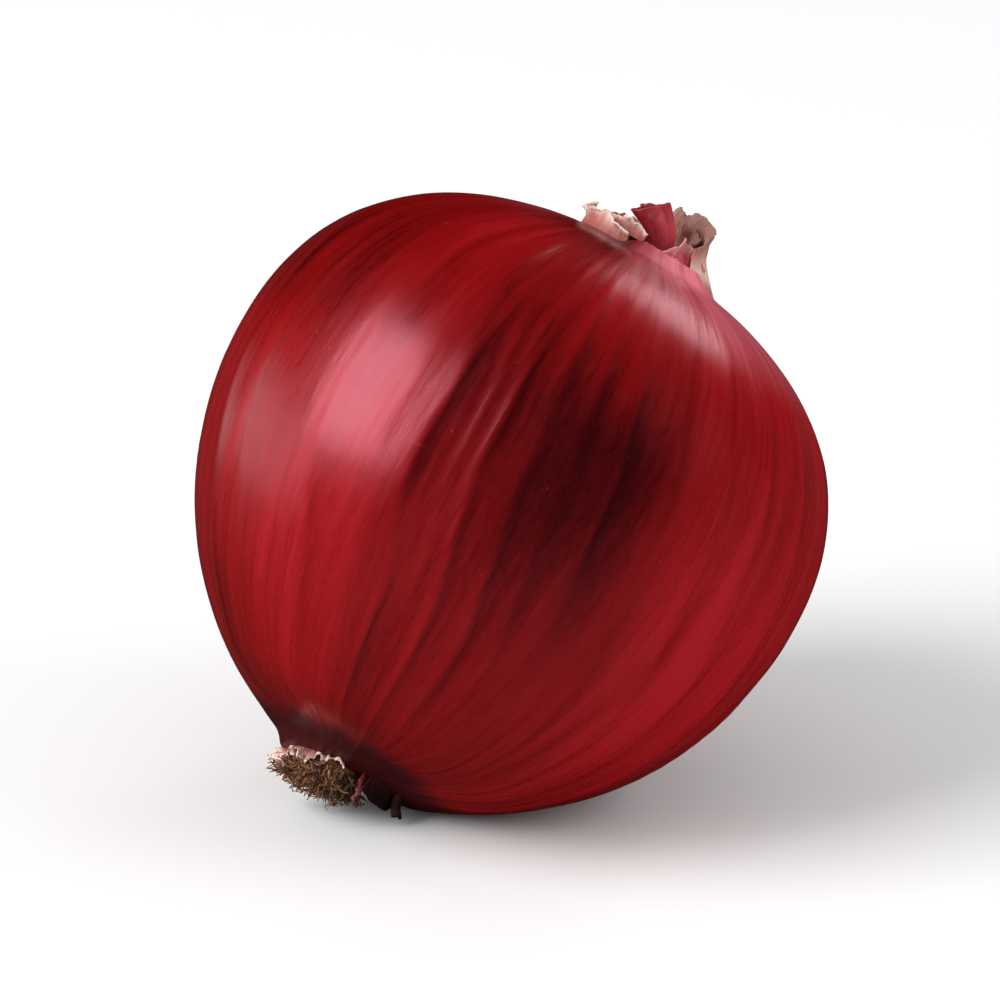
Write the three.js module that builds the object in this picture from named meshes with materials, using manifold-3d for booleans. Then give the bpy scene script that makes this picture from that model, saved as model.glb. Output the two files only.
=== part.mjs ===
// A whole red onion: the bulb in its tight dry skin, the torn papery leaves of its neck and its tuft of dry roots.
// Millimetres, +Z up. The onion is shaped about its own axis, from the roots up to the neck, with -Y as its front.
// It is then laid down the way it settled, leaning right and back, on a small flat spot whose middle is the origin.
import * as THREE from "three";
import { mergeVertices } from "three/addons/utils/BufferGeometryUtils.js";
import Module from "manifold-3d";

const wasm = await Module();
wasm.setup();
const { degToRad, euclideanModulo, lerp, radToDeg, seededRandom, smoothstep } = THREE.MathUtils;

// How it lies
const LEAN_RIGHT = 30; // degrees, of the neck away from upright
const LEAN_BACK = 20;
const REST_PRESS = 0.8; // how much of the round side the flat spot takes off

// Bulb, measured along the onion's axis from its widest ring
const EQUATOR_RADIUS = 39.8;
const SHOULDER_HEIGHT = 33;
const SHOULDER_FULLNESS = 2.3; // 2 is an ellipse, more is squarer
const BASE_DEPTH = 43.5;
const BASE_FULLNESS = 1.9;
const BULB_SIDES = 76;
const BULB_RINGS = 14; // in each of the bulb's two halves

// Collar, where the skin is drawn up round the neck
const COLLAR_FOOT_RADIUS = 10.6;
const COLLAR_RADIUS = 6.2;
const COLLAR_HEIGHT = 2.2;
const COLLAR_DISH = 0.9; // depth of the hollow inside the collar's rim
const COLLAR_RIM = 0.8;
const COLLAR_TOP = SHOULDER_HEIGHT + COLLAR_HEIGHT;
const COLLAR_RINGS = 4;
const PLEATS = 19;
const PLEAT_DEPTH = 0.22;

// Relief of the skin
const SKIN_SEED = 7;
const LOBES = [
  { count: 2, height: 0.35, turn: 40 },
  { count: 3, height: 0.3, turn: 95 },
  { count: 5, height: 0.22, turn: 10 },
];
const FOLDS = 19; // raised edges of the skin's layers, which run from the roots to the neck
const FOLD_SPREAD = 0.7; // how far a fold may stand from its even place, in shares of the spacing
const FOLD_HEIGHT = [0.18, 0.5];
const FOLD_WIDTH = 13; // degrees, of a fold's gentle side
const FOLD_DROP = 4.8; // degrees, of its steep side
const REST_SMOOTH = [11, 24]; // degrees from straight down, between which the relief comes up round the flat spot
const RELIEF_LOW = -24; // heights between which the relief is full
const RELIEF_HIGH = 23;
const PLEATS_START = 28.5;

// Root plate and roots
const PLATE_RADIUS = 4.5;
const PLATE_TIP_RADIUS = 3.7;
const PLATE_THICKNESS = 1.8;
const PLATE_SIDES = 20;
const DISH_DEPTH = 1.4; // of the hollow in the bulb's base that the plate sits in
const ROOT_ASIDE = -2.3; // how far the dish and its plate stand to one side of the onion's axis
const ROOT_TILT = { right: 0.1, front: 0.3 }; // rise of the dish for each millimetre to the right and the front
const ASIDE_FADE = [5.5, 11]; // radii between which the base goes back to being round about the axis
const TILT_FADE = { from: 6, to: 20, front: 6 }; // and square to it, which is further out in front than behind
const CLEARANCE = 0.3; // between neighbouring pieces
const ROOT_SEED = 21;
const ROOTS = 54;
const ROOT_LENGTH = [2.4, 4];
const ROOT_RADIUS = 0.5;
const ROOT_TIP_RADIUS = 0.2;
const ROOT_SIDES = 3;
const ROOT_STEPS = 3;
const ROOT_REACH = 3.5; // from the plate's middle to the outermost root's foot
const ROOT_SPREAD = [46, 66]; // degrees outwards, at the plate's edge
const ROOT_JITTER = 57; // degrees, in the way a root points
const ROOT_CURL = 1.4; // sideways bend over a root's length
const ROOT_FLOOR_GAP = 0.5; // under the lowest roots
const ROOT_TRIM = 0.2; // step by which a root that reaches lower is shortened

// Neck leaves: angles in degrees about the axis, from +X towards +Y, so that 270 is the front.
// Rise is the height of the torn edge at even places from the leaf's start to its end, lean how far in the leaf comes
// for each millimetre that it rises, and flare how far its edge turns out again.
const LEAF_SEED = 4;
const LEAF_THICKNESS = 0.65;
const TEARS = 9; // high and low points along a torn edge
const LEAVES = [
  { name: "neck_leaf_cream", from: 150, to: 250, radius: 8.9, rise: [1.8, 2.6, 2.8, 1.8, 2, 1.7, 1], lean: 0.1,
    flare: 0.5, waves: 2.5, waveDepth: 0.4, tear: 0.2, finish: "cream" },
  { name: "neck_leaf_tan", from: -42, to: 84, radius: 10.4, rise: [3, 5.2, 6.9, 8.1, 8.9, 8.6, 8.1], lean: 0.58,
    flare: 0.5, waves: 3.4, waveDepth: 0.4, tear: 0.1, finish: "tan" },
  { name: "neck_leaf_back", from: 90, to: 145, radius: 8.6, rise: [6.2, 5.2, 3.8, 2.4], lean: 0.3,
    flare: 0.4, waves: 2, waveDepth: 0.3, tear: 0.2, finish: "tan" },
];
const LEAF_COLUMNS = 18;
const LEAF_ROWS = 5;

// Inner leaf: a red leaf rolled up into a loose scroll, which stands in the collar and bends to the left
const SCROLL_START = 160; // degrees, where the inner edge of the roll is
const SCROLL_TURNS = 1.36;
const SCROLL_RADIUS = [1, 2.1];
const SCROLL_RISE = [4.9, 4.3]; // at the inner and the outer edge
const SCROLL_FOOT = { x: 1.6, y: -0.5 };
const SCROLL_BEND = -3.6; // sideways, at the torn edge
const SCROLL_TILT = 0.7; // rise of the torn edge for each millimetre to the right, as the roll leans left
const SCROLL_TEAR = 0.12;
const SCROLL_COLUMNS = 24;
const SCROLL_ROWS = 5;

// Front leaf: what is left of a pink inner leaf, low in the front of the collar
const FRONT_LEAF = { name: "neck_leaf_pink", from: 222, to: 340, radius: 4.6, rise: [1.2, 1.8, 2.2],
  lean: 0.05, flare: 0.3, waves: 3, waveDepth: 0.25, tear: 0.3, finish: "pink" };

const FINISHES = {
  skin: { color: 0x8a0a12, roughness: 0.36, metalness: 0 },
  cream: { color: 0xd1b3a4, roughness: 0.7, metalness: 0 },
  tan: { color: 0xb38a70, roughness: 0.7, metalness: 0 },
  red: { color: 0xb02a3a, roughness: 0.45, metalness: 0 },
  pink: { color: 0xc8687a, roughness: 0.5, metalness: 0 },
  root: { color: 0x6b4a30, roughness: 0.85, metalness: 0 },
};

// The way the onion lies, and the direction of straight down in its own frame
const lie = new THREE.Euler(degToRad(-LEAN_BACK), degToRad(LEAN_RIGHT), 0);
const down = new THREE.Vector3(0, 0, -1).applyQuaternion(new THREE.Quaternion().setFromEuler(lie).invert());

// A closed geometry as a manifold-3d solid: shared vertices merged, and triangles that have no area left out.
function solidOf(geometry) {
  const bare = new THREE.BufferGeometry();
  bare.setAttribute("position", geometry.getAttribute("position"));
  bare.setIndex(geometry.index);
  const merged = mergeVertices(bare, 1e-4);
  const corners = merged.index.array;
  const kept = [];
  for (let i = 0; i < corners.length; i += 3) {
    const [a, b, c] = [corners[i], corners[i + 1], corners[i + 2]];
    if (a !== b && b !== c && c !== a) kept.push(a, b, c);
  }
  return new wasm.Manifold(
    new wasm.Mesh({
      numProp: 3,
      vertProperties: merged.getAttribute("position").array,
      triVerts: new Uint32Array(kept),
    }),
  );
}

// A manifold-3d solid as a geometry with its own normals.
function geometryOf(solid) {
  const mesh = solid.getMesh();
  const geometry = new THREE.BufferGeometry();
  geometry.setAttribute("position", new THREE.BufferAttribute(mesh.vertProperties, mesh.numProp));
  geometry.setIndex(new THREE.BufferAttribute(mesh.triVerts, 1));
  geometry.computeVertexNormals();
  return geometry;
}

// Moves every vertex of a geometry to where the given function puts it.
function reshape(geometry, move) {
  const place = geometry.getAttribute("position");
  const point = new THREE.Vector3();
  for (let i = 0; i < place.count; i++) {
    move(point.fromBufferAttribute(place, i));
    place.setXYZ(i, point.x, point.y, point.z);
  }
  return geometry;
}

// Lowest height of a geometry once it lies where the matrix puts it.
function lowestHeight(geometry, matrix) {
  return new THREE.Box3().setFromBufferAttribute(geometry.clone().applyMatrix4(matrix).getAttribute("position")).min.z;
}

// Height of the plain bulb at a radius: above the widest ring, or below it.
function bulbHeight(radius, above) {
  const [reach, fullness] = above ? [SHOULDER_HEIGHT, SHOULDER_FULLNESS] : [-BASE_DEPTH, BASE_FULLNESS];
  return reach * (1 - (radius / EQUATOR_RADIUS) ** fullness) ** (1 / fullness);
}

// Height of the collar at a radius: a hollow curve that leaves the shoulder level and ends upright.
function collarHeight(radius) {
  const steepness = (COLLAR_FOOT_RADIUS - radius) / (COLLAR_FOOT_RADIUS - COLLAR_RADIUS);
  return lerp(COLLAR_TOP, bulbHeight(COLLAR_FOOT_RADIUS, true), Math.sqrt(1 - steepness ** 2));
}

// Half of the bulb's profile, from the widest ring to where the profile has the given radius.
function halfProfile(endRadius, above) {
  const fullness = above ? SHOULDER_FULLNESS : BASE_FULLNESS;
  const last = Math.acos((endRadius / EQUATOR_RADIUS) ** (fullness / 2));
  const points = [];
  for (let i = 0; i <= BULB_RINGS; i++) {
    const radius = EQUATOR_RADIUS * Math.cos((last * i) / BULB_RINGS) ** (2 / fullness);
    points.push(new THREE.Vector2(radius, bulbHeight(radius, above)));
  }
  return points;
}

// Profile of the bulb, from the middle of the root dish round to the middle of the neck.
function bulbProfile() {
  const lower = halfProfile(PLATE_RADIUS + CLEARANCE, false).reverse();
  const upper = halfProfile(COLLAR_FOOT_RADIUS, true);
  const dishFloor = lower[0].y + DISH_DEPTH;
  const dish = [new THREE.Vector2(0, dishFloor), new THREE.Vector2(PLATE_RADIUS + CLEARANCE, dishFloor)];
  const collar = [];
  for (let i = 1; i <= COLLAR_RINGS; i++) {
    const steepness = Math.sin((i / COLLAR_RINGS) * (Math.PI / 2));
    const radius = lerp(COLLAR_FOOT_RADIUS, COLLAR_RADIUS, steepness);
    collar.push(new THREE.Vector2(radius, collarHeight(radius)));
  }
  const hollow = COLLAR_TOP - COLLAR_DISH;
  const cap = [new THREE.Vector2(COLLAR_RADIUS - COLLAR_RIM, hollow), new THREE.Vector2(0, hollow)];
  return [...dish, ...lower, ...upper.slice(1), ...collar, ...cap];
}

// Raised edges of the skin's layers: where each runs, and how high it stands.
function skinFolds() {
  seededRandom(SKIN_SEED);
  return Array.from({ length: FOLDS }, (_, i) => ({
    angle: (360 / FOLDS) * (i + FOLD_SPREAD * (seededRandom() - 0.5)),
    height: lerp(...FOLD_HEIGHT, seededRandom()),
  }));
}

// Height of the skin's relief over the plain bulb. It dies out towards the roots, the neck and the flat spot.
function skinRelief(point, angle, folds) {
  const low = smoothstep(point.z, -BASE_DEPTH, RELIEF_LOW);
  const high = 1 - smoothstep(point.z, RELIEF_HIGH, SHOULDER_HEIGHT);
  const clear = smoothstep(radToDeg(point.angleTo(down)), ...REST_SMOOTH);
  let relief = 0;
  for (const lobe of LOBES) relief += lobe.height * Math.cos(lobe.count * degToRad(angle - lobe.turn));
  for (const fold of folds) {
    const away = euclideanModulo(angle - fold.angle + 180, 360) - 180;
    const width = away < 0 ? FOLD_WIDTH : FOLD_DROP;
    relief += fold.height * (1 - smoothstep(Math.abs(away), 0, width));
  }
  return relief * low * high * clear;
}

// Depth of the pleats that the skin gathers into round the collar.
function pleatRelief(angle, height) {
  const drawn = smoothstep(height, PLEATS_START, COLLAR_TOP);
  return PLEAT_DEPTH * drawn * Math.cos(PLEATS * degToRad(angle));
}

// How far the tilt of the root dish raises a place, measured from the dish's middle, with shares of each tilt.
function rootRise(x, y, rightShare = 1, frontShare = 1) {
  return rightShare * ROOT_TILT.right * x - frontShare * ROOT_TILT.front * y;
}

function bulbGeometry() {
  const folds = skinFolds();
  const plain = new THREE.LatheGeometry(bulbProfile(), BULB_SIDES).rotateX(Math.PI / 2);
  return reshape(plain, (point) => {
    const radius = Math.hypot(point.x, point.y);
    const inDish = point.z < 0 && radius < PLATE_RADIUS + 2 * CLEARANCE;
    const inCap = point.z > SHOULDER_HEIGHT && radius < COLLAR_RADIUS - CLEARANCE;
    if (!inDish && !inCap) {
      const angle = radToDeg(Math.atan2(point.y, point.x));
      const raised = radius + skinRelief(point, angle, folds) + pleatRelief(angle, point.z);
      point.x *= raised / radius;
      point.y *= raised / radius;
    }
    if (point.z < 0) {
      const front = -Math.sin(Math.atan2(point.y, point.x));
      const aside = 1 - smoothstep(radius, ...ASIDE_FADE);
      const tilted = 1 - smoothstep(radius, TILT_FADE.from, TILT_FADE.to + TILT_FADE.front * front);
      point.z += rootRise(point.x, point.y, aside, tilted);
      point.x += aside * ROOT_ASIDE;
    }
  });
}

// A thin leaf: two skins of one triangle grid, half a thickness either side of a curved middle surface, and the rim
// between them. The surface is a function of the shares across and up the leaf.
function bladeGeometry(surface, columns, rows, thickness) {
  const places = [];
  const corners = [];
  const step = 1e-3;
  const layer = (columns + 1) * (rows + 1);
  for (const side of [0.5, -0.5]) {
    for (let j = 0; j <= rows; j++) {
      for (let i = 0; i <= columns; i++) {
        const [u, v] = [i / columns, j / rows];
        const across = surface(u + step, v).sub(surface(u - step, v));
        const up = surface(u, v + step).sub(surface(u, v - step));
        const normal = across.cross(up).normalize();
        places.push(...surface(u, v).addScaledVector(normal, side * thickness));
      }
    }
  }
  const at = (i, j, back) => j * (columns + 1) + i + (back ? layer : 0);
  const quad = (a, b, c, d) => corners.push(a, b, c, a, c, d);
  for (let j = 0; j < rows; j++) {
    for (let i = 0; i < columns; i++) {
      const [a, b, c, d] = [[i, j], [i + 1, j], [i + 1, j + 1], [i, j + 1]];
      quad(at(...a), at(...b), at(...c), at(...d));
      corners.push(at(...a, true), at(...c, true), at(...b, true), at(...a, true), at(...d, true), at(...c, true));
    }
  }
  for (let i = 0; i < columns; i++) {
    quad(at(i, 0, true), at(i + 1, 0, true), at(i + 1, 0), at(i, 0));
    quad(at(i, rows), at(i + 1, rows), at(i + 1, rows, true), at(i, rows, true));
  }
  for (let j = 0; j < rows; j++) {
    quad(at(0, j), at(0, j + 1), at(0, j + 1, true), at(0, j, true));
    quad(at(columns, j, true), at(columns, j + 1, true), at(columns, j + 1), at(columns, j));
  }
  const geometry = new THREE.BufferGeometry();
  geometry.setAttribute("position", new THREE.Float32BufferAttribute(places, 3));
  geometry.setIndex(corners);
  geometry.computeVertexNormals();
  return geometry;
}

// A torn edge: a smooth curve through seeded heights, from -1 to 1 along the leaf.
function tornEdge() {
  const heights = Array.from({ length: TEARS }, () => 2 * seededRandom() - 1);
  const curve = new THREE.SplineCurve(heights.map((height, i) => new THREE.Vector2(i, height)));
  return (share) => curve.getPoint(Math.min(Math.max(share, 0), 1)).y;
}

// A neck leaf stands round the collar. It leans in and flares to its torn, waved edge.
function neckLeafGeometry(leaf, foot) {
  const torn = tornEdge();
  const crest = new THREE.SplineCurve(leaf.rise.map((rise, i) => new THREE.Vector2(i, rise)));
  const surface = (u, v) => {
    const angle = degToRad(lerp(leaf.from, leaf.to, u));
    const rise = crest.getPoint(Math.min(Math.max(u, 0), 1)).y * (1 + leaf.tear * torn(u));
    const wave = leaf.waveDepth * v * v * Math.sin(2 * Math.PI * leaf.waves * u);
    const radius = leaf.radius - leaf.lean * rise * Math.sin((Math.PI / 2) * v) + leaf.flare * v * v + wave;
    return new THREE.Vector3(radius * Math.cos(angle), radius * Math.sin(angle), foot + rise * v);
  };
  return bladeGeometry(surface, LEAF_COLUMNS, LEAF_ROWS, LEAF_THICKNESS);
}

// The rolled leaf is a spiral that bends sideways as it rises.
function scrollGeometry(foot) {
  const torn = tornEdge();
  const surface = (u, v) => {
    const angle = degToRad(SCROLL_START + 360 * SCROLL_TURNS * u);
    const radius = lerp(...SCROLL_RADIUS, u);
    const rise = lerp(...SCROLL_RISE, u) * (1 + SCROLL_TEAR * torn(u)) + SCROLL_TILT * radius * Math.cos(angle);
    return new THREE.Vector3(
      SCROLL_FOOT.x + radius * Math.cos(angle) + SCROLL_BEND * v * v,
      SCROLL_FOOT.y + radius * Math.sin(angle),
      foot + rise * v,
    );
  };
  return bladeGeometry(surface, SCROLL_COLUMNS, SCROLL_ROWS, LEAF_THICKNESS);
}

// One dry root: a tapered stalk from its foot inside the plate, bent sideways more and more towards its tip.
function rootGeometry(foot, heading, tilt, length, curl) {
  const stalk = new THREE.CylinderGeometry(ROOT_TIP_RADIUS, ROOT_RADIUS, length, ROOT_SIDES, ROOT_STEPS);
  stalk.translate(0, length / 2, 0).rotateX(-Math.PI / 2);
  reshape(stalk, (point) => {
    const share = -point.z / length;
    point.x += Math.cos(curl) * ROOT_CURL * share * share;
    point.y += Math.sin(curl) * ROOT_CURL * share * share;
  });
  return tiltedTuft(stalk.rotateY(-tilt).rotateZ(heading).translate(foot.x, foot.y, foot.z));
}

// Moves a geometry that is set out about the axis to the dish, and tilts it the same way.
function tiltedTuft(geometry) {
  return reshape(geometry, (point) => {
    point.z += rootRise(point.x, point.y);
    point.x += ROOT_ASIDE;
  });
}

// Root plate with its roots, set out in the spiral that a plant fills a disc with. A root that would touch what the
// onion lies on is shorter.
function rootTuftGeometry(onion) {
  const top = bulbHeight(PLATE_RADIUS + CLEARANCE, false) + DISH_DEPTH - CLEARANCE;
  const plate = new THREE.CylinderGeometry(PLATE_RADIUS, PLATE_TIP_RADIUS, PLATE_THICKNESS, PLATE_SIDES);
  plate.rotateX(Math.PI / 2).translate(0, 0, top - PLATE_THICKNESS / 2);
  const goldenAngle = Math.PI * (3 - Math.sqrt(5));
  const solids = [solidOf(tiltedTuft(plate))];
  seededRandom(ROOT_SEED);
  for (let i = 0; i < ROOTS; i++) {
    const out = Math.sqrt((i + 0.5) / ROOTS);
    const heading = i * goldenAngle;
    const foot = new THREE.Vector3().setFromCylindricalCoords(ROOT_REACH * out, heading, 0);
    foot.set(foot.z, foot.x, top - PLATE_THICKNESS / 2);
    const tilt = degToRad(out * lerp(...ROOT_SPREAD, seededRandom()));
    const turned = heading + degToRad(ROOT_JITTER * (seededRandom() - 0.5));
    const curl = 2 * Math.PI * seededRandom();
    let length = lerp(...ROOT_LENGTH, seededRandom());
    let root = rootGeometry(foot, turned, tilt, length, curl);
    while (lowestHeight(root, onion.matrix) < ROOT_FLOOR_GAP) {
      length -= ROOT_TRIM;
      root = rootGeometry(foot, turned, tilt, length, curl);
    }
    solids.push(solidOf(root));
  }
  return geometryOf(wasm.Manifold.union(solids));
}

function addMesh(group, name, geometry, finish) {
  const mesh = new THREE.Mesh(geometry, new THREE.MeshStandardMaterial(FINISHES[finish]));
  mesh.name = name;
  group.add(mesh);
}

// The point of the plain bulb that is lowest as it lies, in the onion's own frame: where the profile of its lower half
// is square to the straight-down direction.
function restPoint() {
  const power = 1 / (BASE_FULLNESS - 1);
  const across = Math.hypot(down.x, down.y);
  const outShare = (EQUATOR_RADIUS * across) ** power;
  const downShare = (BASE_DEPTH * -down.z) ** power;
  const scale = (outShare ** BASE_FULLNESS + downShare ** BASE_FULLNESS) ** (-1 / BASE_FULLNESS);
  const radius = EQUATOR_RADIUS * outShare * scale;
  return new THREE.Vector3((radius * down.x) / across, (radius * down.y) / across, -BASE_DEPTH * downShare * scale);
}

// Lays the onion down, so that the middle of its flat spot is the origin.
function layDown(onion) {
  const lowest = restPoint().applyEuler(lie);
  onion.rotation.copy(lie);
  onion.position.set(-lowest.x, -lowest.y, -lowest.z - REST_PRESS);
  onion.updateMatrix();
}

// Presses the flat spot into the bulb: takes off what would be below the surface that it lies on.
function pressFlat(bulb, onion) {
  const side = 2 * EQUATOR_RADIUS;
  const below = new THREE.BoxGeometry(side, side, side).translate(0, 0, -side / 2);
  return geometryOf(solidOf(bulb).subtract(solidOf(below.applyMatrix4(onion.matrix.clone().invert()))));
}

const onion = new THREE.Group();
layDown(onion);
const collarFloor = COLLAR_TOP - COLLAR_DISH + CLEARANCE;
addMesh(onion, "bulb", pressFlat(bulbGeometry(), onion), "skin");
addMesh(onion, "root_tuft", rootTuftGeometry(onion), "root");
seededRandom(LEAF_SEED);
for (const leaf of LEAVES) {
  const foot = collarHeight(leaf.radius - LEAF_THICKNESS / 2 - PLEAT_DEPTH) + CLEARANCE;
  addMesh(onion, leaf.name, neckLeafGeometry(leaf, foot), leaf.finish);
}
addMesh(onion, "neck_leaf_red", scrollGeometry(collarFloor), "red");
addMesh(onion, FRONT_LEAF.name, neckLeafGeometry(FRONT_LEAF, collarFloor), FRONT_LEAF.finish);

const part = new THREE.Group();
part.add(onion);
export default part;
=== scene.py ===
import math
import random
import bpy
from mathutils import Matrix, Vector


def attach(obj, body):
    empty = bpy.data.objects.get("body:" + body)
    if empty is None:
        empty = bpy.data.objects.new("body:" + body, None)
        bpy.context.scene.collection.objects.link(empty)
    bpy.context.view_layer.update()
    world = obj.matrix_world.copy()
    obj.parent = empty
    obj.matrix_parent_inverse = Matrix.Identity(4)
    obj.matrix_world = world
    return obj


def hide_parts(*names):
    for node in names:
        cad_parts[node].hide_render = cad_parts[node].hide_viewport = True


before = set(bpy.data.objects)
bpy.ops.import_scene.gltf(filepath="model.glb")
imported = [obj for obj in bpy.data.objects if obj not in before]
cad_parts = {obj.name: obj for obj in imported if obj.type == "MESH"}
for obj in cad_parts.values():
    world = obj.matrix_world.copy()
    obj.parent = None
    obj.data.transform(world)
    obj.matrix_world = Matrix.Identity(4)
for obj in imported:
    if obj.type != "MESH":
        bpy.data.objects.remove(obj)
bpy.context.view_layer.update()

mm = 0.001

# Shape and lie of the onion, in its own frame: axis along z from roots to neck, front towards -y
onion = {
    "leanRight": 30,        # degrees
    "leanBack": 20,
    "press": 0.8 * mm,      # how much the flat spot takes off the round side
    "widest": 39.8 * mm,    # radius of the widest ring, at height 0
    "shoulder": 33 * mm,    # height of the upper half, without the collar
    "shoulderFullness": 2.3,
    "base": 43.5 * mm,      # and of the lower half
    "baseFullness": 1.9,
}


# Node trees

class Flow:
    # a value on its way through a node tree: arithmetic on it adds Math nodes
    def __init__(self, tree, socket):
        self.tree = tree
        self.socket = socket

    def math(self, operation, *others):
        node = self.tree.nodes.new("ShaderNodeMath")
        node.operation = operation
        for slot, value in zip(node.inputs, (self, *others)):
            plug(self.tree, value, slot)
        return Flow(self.tree, node.outputs[0])

    def __add__(self, other):
        return self.math("ADD", other)

    def __sub__(self, other):
        return self.math("SUBTRACT", other)

    def __mul__(self, other):
        return self.math("MULTIPLY", other)

    def __truediv__(self, other):
        return self.math("DIVIDE", other)

    def __pow__(self, other):
        return self.math("POWER", other)

    def flip(self):
        return (self * -1) + 1

    def span(self, low, high):
        # 0 becomes low, 1 becomes high
        return self * (high - low) + low

    def ramp(self, low, high):
        # 0 below low, 1 above high, smooth between
        node = addNode(self.tree, "ShaderNodeMapRange", interpolation_type="SMOOTHSTEP")
        for slot, value in zip(("Value", "From Min", "From Max"), (self, low, high)):
            plug(self.tree, value, node.inputs[slot])
        return Flow(self.tree, node.outputs[0])


def plug(tree, value, socket):
    if isinstance(value, Flow):
        tree.links.new(value.socket, socket)
    elif isinstance(value, bpy.types.NodeSocket):
        tree.links.new(value, socket)
    else:
        socket.default_value = value


def addNode(tree, kind, inputs=None, **settings):
    node = tree.nodes.new(kind)
    for name, value in settings.items():
        setattr(node, name, value)
    for key, value in (inputs or {}).items():
        plug(tree, value, node.inputs[key])
    return node


def newTree(name, kind, inputs, outputs):
    # inputs: name to (socket type, default); returns the tree, its inputs as flows and its output node
    tree = bpy.data.node_groups.new(name, kind)
    for title, (socketType, default) in inputs.items():
        socket = tree.interface.new_socket(title, in_out="INPUT", socket_type="NodeSocket" + socketType)
        if default is not None:
            socket.default_value = default
    for title, socketType in outputs.items():
        tree.interface.new_socket(title, in_out="OUTPUT", socket_type="NodeSocket" + socketType)
    start = tree.nodes.new("NodeGroupInput")
    given = {title: Flow(tree, start.outputs[title]) for title in inputs}
    return tree, given, tree.nodes.new("NodeGroupOutput")


def floats(*titles):
    # number inputs of a tree, all set by the piece that it grows
    return {title: ("Float", 0.0) for title in titles}


def combine(tree, x, y, z):
    return addNode(tree, "ShaderNodeCombineXYZ", {0: x, 1: y, 2: z}).outputs[0]


def separate(tree, vector):
    node = addNode(tree, "ShaderNodeSeparateXYZ", {0: vector})
    return [Flow(tree, socket) for socket in node.outputs]


def vectorMath(tree, operation, *values):
    node = addNode(tree, "ShaderNodeVectorMath", dict(enumerate(values)), operation=operation)
    return node.outputs["Value" if operation in ("DOT_PRODUCT", "LENGTH", "DISTANCE") else "Vector"]


def scaled(tree, vector, amount):
    return vectorMath(tree, "MULTIPLY", vector, combine(tree, amount, amount, amount))


def noise(tree, vector, scale=1.0, detail=2.0, roughness=0.5):
    # smooth noise, from 0 to 1
    node = addNode(tree, "ShaderNodeTexNoise",
                   {"Vector": vector, "Scale": scale, "Detail": detail, "Roughness": roughness})
    return Flow(tree, node.outputs[0])


def grainNoise(tree, grain, counts, detail=3.0, roughness=0.6):
    # noise drawn out along the grain: counts across it and along it
    across, along = counts
    return noise(tree, vectorMath(tree, "MULTIPLY", grain, (across, across, along)), 1.0, detail, roughness)


def mixFlow(tree, share, low, high):
    node = addNode(tree, "ShaderNodeMix", {0: share, 2: low, 3: high})
    return Flow(tree, node.outputs[0])


def gridNode(tree, columns, rows):
    # a flat grid with u across and v along as fields
    grid = addNode(tree, "GeometryNodeMeshGrid", {"Vertices X": columns, "Vertices Y": rows})
    u, v, _ = separate(tree, grid.outputs["UV Map"])
    return grid.outputs["Mesh"], u, v


def placeNow(tree):
    return tree.nodes.new("GeometryNodeInputPosition").outputs[0]


def setPosition(tree, geometry, **places):
    inputs = {name.capitalize(): value for name, value in places.items()}
    return addNode(tree, "GeometryNodeSetPosition", {"Geometry": geometry, **inputs}).outputs[0]


def closeSeams(tree, mesh):
    return addNode(tree, "GeometryNodeMergeByDistance", {"Geometry": mesh, "Distance": 1e-6}).outputs[0]


def keepAboveFloor(tree, mesh, given, gap, softness):
    # lifts what would go through the floor
    above = Flow(tree, vectorMath(tree, "DOT_PRODUCT", placeNow(tree), given["Up"])) + given["Rest height"]
    lift = above.math("SMOOTH_MAX", gap, softness) - above
    return setPosition(tree, mesh, offset=scaled(tree, given["Up"], lift))


def storeAttribute(tree, geometry, name, value, dataType="FLOAT_VECTOR", domain="POINT"):
    node = addNode(tree, "GeometryNodeStoreNamedAttribute",
                   {"Geometry": geometry, "Name": name}, data_type=dataType, domain=domain)
    plug(tree, value, node.inputs["Value"])
    return node.outputs[0]


def readAttribute(tree, name, dataType="FLOAT_VECTOR"):
    return addNode(tree, "GeometryNodeInputNamedAttribute", {"Name": name}, data_type=dataType).outputs[0]


def finishTree(tree, geometry, material, made):
    real = addNode(tree, "GeometryNodeRealizeInstances", {"Geometry": geometry}).outputs[0]
    smooth = addNode(tree, "GeometryNodeSetShadeSmooth", {"Geometry": real}).outputs[0]
    painted = addNode(tree, "GeometryNodeSetMaterial", {"Geometry": smooth, "Material": material})
    plug(tree, painted.outputs[0], made.inputs[0])


def growPiece(name, tree, values, thickness=0):
    # runs a geometry tree and keeps its result as a plain mesh, laid where the onion lies
    holder = bpy.data.objects.new(name + "Grown", bpy.data.meshes.new(name + "Grown"))
    bpy.context.scene.collection.objects.link(holder)
    modifier = holder.modifiers.new("grow", "NODES")
    modifier.node_group = tree
    sockets = {item.name: item.identifier for item in tree.interface.items_tree if item.in_out == "INPUT"}
    for title, value in values.items():
        modifier[sockets[title]] = value
    if thickness:
        wall = holder.modifiers.new("thickness", "SOLIDIFY")
        wall.thickness = thickness
        wall.offset = 0
    view = bpy.context.evaluated_depsgraph_get()
    mesh = bpy.data.meshes.new_from_object(holder.evaluated_get(view), depsgraph=view)
    mesh.name = name
    mesh.transform(lie)
    piece = bpy.data.objects.new(name, mesh)
    bpy.context.scene.collection.objects.link(piece)
    bpy.data.objects.remove(holder)
    return piece


def carry(piece, slot, *nodes):
    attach(piece, "root")
    if nodes:
        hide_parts(*nodes)
    print("made", piece.name, len(piece.data.polygons), "faces")


# How the onion lies: its lowest spot, pressed flat, is at the origin

turn = (Matrix.Rotation(math.radians(-onion["leanBack"]), 4, "X")
        @ Matrix.Rotation(math.radians(onion["leanRight"]), 4, "Y"))
down = turn.inverted() @ Vector((0, 0, -1))


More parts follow.
